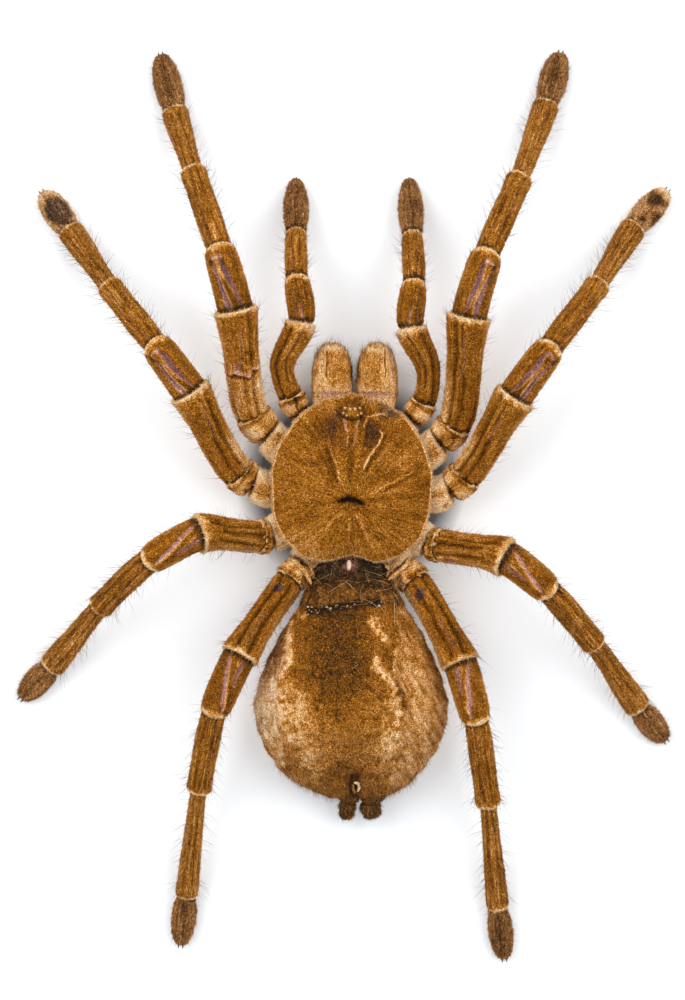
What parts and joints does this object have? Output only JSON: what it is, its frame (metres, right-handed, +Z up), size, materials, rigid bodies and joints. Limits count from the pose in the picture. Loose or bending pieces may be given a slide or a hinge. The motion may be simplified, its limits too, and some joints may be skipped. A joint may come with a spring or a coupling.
{
  "type": "dried tarantula specimen",
  "caption": "Large brown velvety tarantula, dried and spread flat with its legs arched out to the sides, lying on its belly.",
  "frame": {"origin": "centre of the bounding box at the level of the surface that the spider lies on", "axes": "+Y forward along the body, towards the jaws; +X towards the spider's right; +Z up"},
  "size_m": [0.1554, 0.2168, 0.0275],
  "materials": {
    "carapace_velvet": "short rust-brown velvet hair over a hard shield",
    "leg_velvet": "short rust-brown velvet hair with pale fringes at the joints",
    "pale_joint": "pale cream felted hair, orange-brown in the middle",
    "abdomen_velvet": "worn velvet hair, dark brown in the middle and pale cream along the folds",
    "jaw_bristle": "combed tan bristle with an orange-brown stripe",
    "fang_black": "hard glossy black",
    "spinneret_brown": "dark brown bristle"
  },
  "bodies": {
    "root": {"carapace": "carapace_velvet", "sternum_and_coxae": "pale_joint", "abdomen": "abdomen_velvet", "leg_1_left": "leg_velvet", "leg_2_left": "leg_velvet", "leg_3_left": "leg_velvet", "leg_4_left": "leg_velvet", "leg_1_right": "leg_velvet", "leg_2_right": "leg_velvet", "leg_3_right": "leg_velvet", "leg_4_right": "leg_velvet", "pedipalp_left": "leg_velvet", "pedipalp_right": "leg_velvet", "chelicera_left": "jaw_bristle", "chelicera_right": "jaw_bristle", "fang_left": "fang_black", "fang_right": "fang_black", "spinneret_left": "spinneret_brown", "spinneret_right": "spinneret_brown"}
  },
  "joints": []
}
